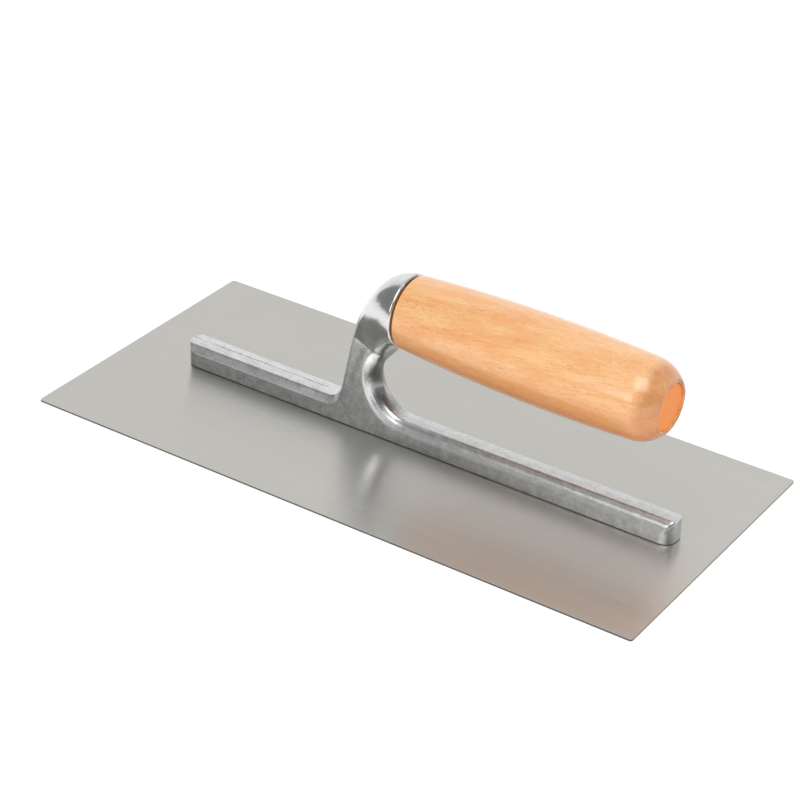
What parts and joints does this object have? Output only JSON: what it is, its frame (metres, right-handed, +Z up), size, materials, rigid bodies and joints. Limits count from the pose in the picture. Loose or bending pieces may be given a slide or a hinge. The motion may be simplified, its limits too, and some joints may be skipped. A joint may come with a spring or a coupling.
{
  "type": "finishing trowel",
  "caption": "Finishing trowel: a flat rectangular steel blade on a cast light-alloy shank with a raised neck, and a barrel-shaped wooden grip closed by a plastic plug.",
  "frame": {"origin": "centre of the blade's flat underside", "axes": "+X along the blade's long side towards the butt of the handle, +Y across the blade, +Z up out of the blade's working face towards the handle"},
  "size_m": [0.28, 0.13, 0.0758],
  "materials": {
    "blade_steel": "fine brushed along the blade",
    "cast_aluminium": "as cast with polished edges and loop",
    "beech": "clear lacquered beech",
    "orange_plastic": "satin moulded",
    "rivet_steel": "ground flush",
    "zinc_steel": "zinc plated"
  },
  "bodies": {
    "root": {"blade": "blade_steel", "blade_rivets": "rivet_steel", "shank": "cast_aluminium", "handle": "beech", "tie_bolt": "zinc_steel", "flat_washer": "zinc_steel", "lock_washer": "zinc_steel", "end_plug": "orange_plastic"}
  },
  "joints": []
}
